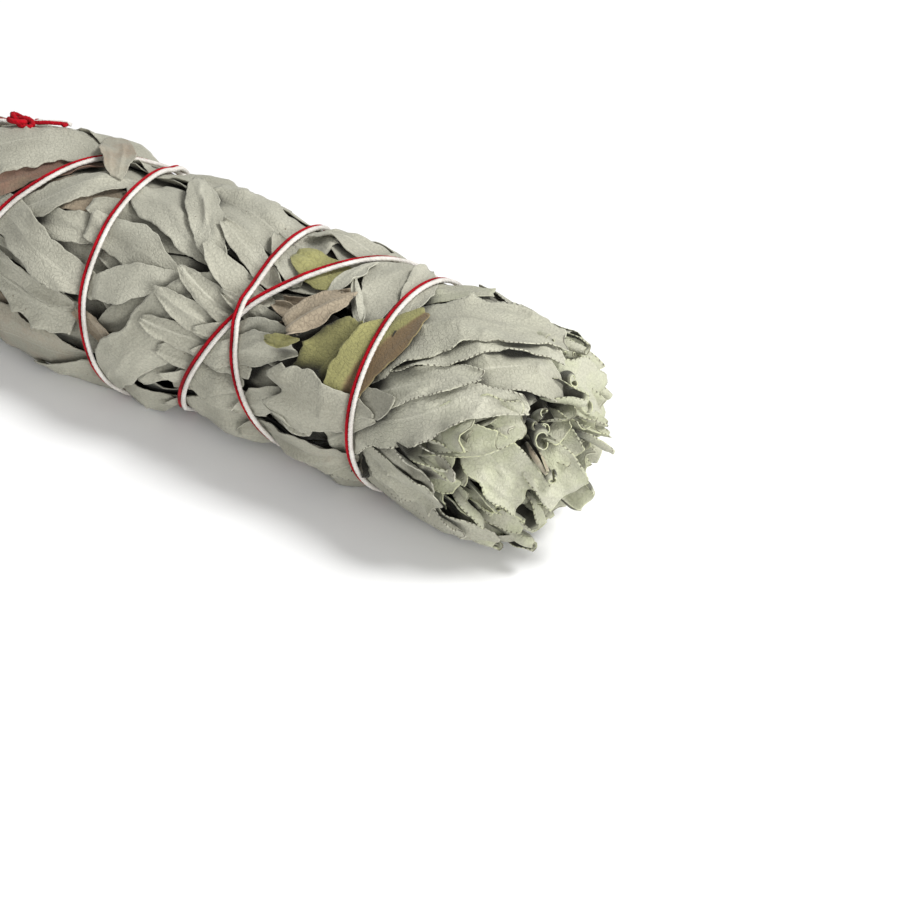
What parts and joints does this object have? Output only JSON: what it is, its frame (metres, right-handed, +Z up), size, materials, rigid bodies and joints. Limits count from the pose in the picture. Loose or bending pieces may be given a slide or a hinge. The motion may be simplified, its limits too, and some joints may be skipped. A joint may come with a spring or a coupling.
{
  "type": "white sage bundle",
  "caption": "Tied bundle of dried white sage leaves, wound lengthwise round woody stems and bound with a red and a white string, lying on its side.",
  "frame": {"origin": "on the table under the middle of the bundle", "axes": "+X along the bundle from the cut butt to the leafy tip, +Z up from the table, +Y across"},
  "size_m": [0.18, 0.0445, 0.0422],
  "materials": {
    "sage_leaf": "matt felted dry leaf",
    "olive_leaf": "matt dry leaf, less felted",
    "brown_leaf": "matt dry leaf, turned brown",
    "stem": "dry bark",
    "white_string": "twisted cotton",
    "red_string": "twisted cotton"
  },
  "bodies": {
    "root": {"lower_leaf_1": "sage_leaf", "lower_leaf_2": "sage_leaf", "lower_leaf_3": "brown_leaf", "lower_leaf_4": "sage_leaf", "lower_leaf_5": "sage_leaf", "lower_leaf_6": "sage_leaf", "lower_leaf_7": "sage_leaf", "lower_leaf_8": "sage_leaf", "middle_leaf_1": "sage_leaf", "middle_leaf_2": "sage_leaf", "middle_leaf_3": "sage_leaf", "middle_leaf_4": "sage_leaf", "middle_leaf_5": "olive_leaf", "middle_leaf_6": "sage_leaf", "middle_leaf_7": "brown_leaf", "middle_leaf_8": "sage_leaf", "upper_leaf_1": "sage_leaf", "upper_leaf_2": "sage_leaf", "upper_leaf_3": "sage_leaf", "upper_leaf_4": "olive_leaf", "upper_leaf_5": "sage_leaf", "upper_leaf_6": "sage_leaf", "upper_leaf_7": "sage_leaf", "upper_leaf_8": "sage_leaf", "tip_leaf_1": "sage_leaf", "tip_leaf_2": "sage_leaf", "tip_leaf_3": "sage_leaf", "tip_leaf_4": "sage_leaf", "tip_leaf_5": "sage_leaf", "tip_leaf_6": "sage_leaf", "tip_leaf_7": "sage_leaf", "tip_leaf_8": "sage_leaf", "inner_tip_leaf_1": "sage_leaf", "inner_tip_leaf_2": "sage_leaf", "inner_tip_leaf_3": "sage_leaf", "inner_tip_leaf_4": "sage_leaf", "inner_tip_leaf_5": "sage_leaf", "inner_tip_leaf_6": "sage_leaf", "heart_leaf_1": "sage_leaf", "heart_leaf_2": "sage_leaf", "heart_leaf_3": "sage_leaf", "heart_leaf_4": "sage_leaf", "core_leaf_1": "sage_leaf", "core_leaf_2": "sage_leaf", "core_leaf_3": "sage_leaf", "core_leaf_4": "sage_leaf", "core_leaf_5": "sage_leaf", "core_leaf_6": "sage_leaf", "core_leaf_7": "sage_leaf", "core_leaf_8": "sage_leaf", "rolled_leaf_1": "sage_leaf", "rolled_leaf_2": "sage_leaf", "stem_1": "stem", "stem_2": "stem", "stem_3": "stem", "stem_4": "stem", "stem_5": "stem", "white_string": "white_string", "red_string": "red_string", "knot": "red_string"}
  },
  "joints": []
}
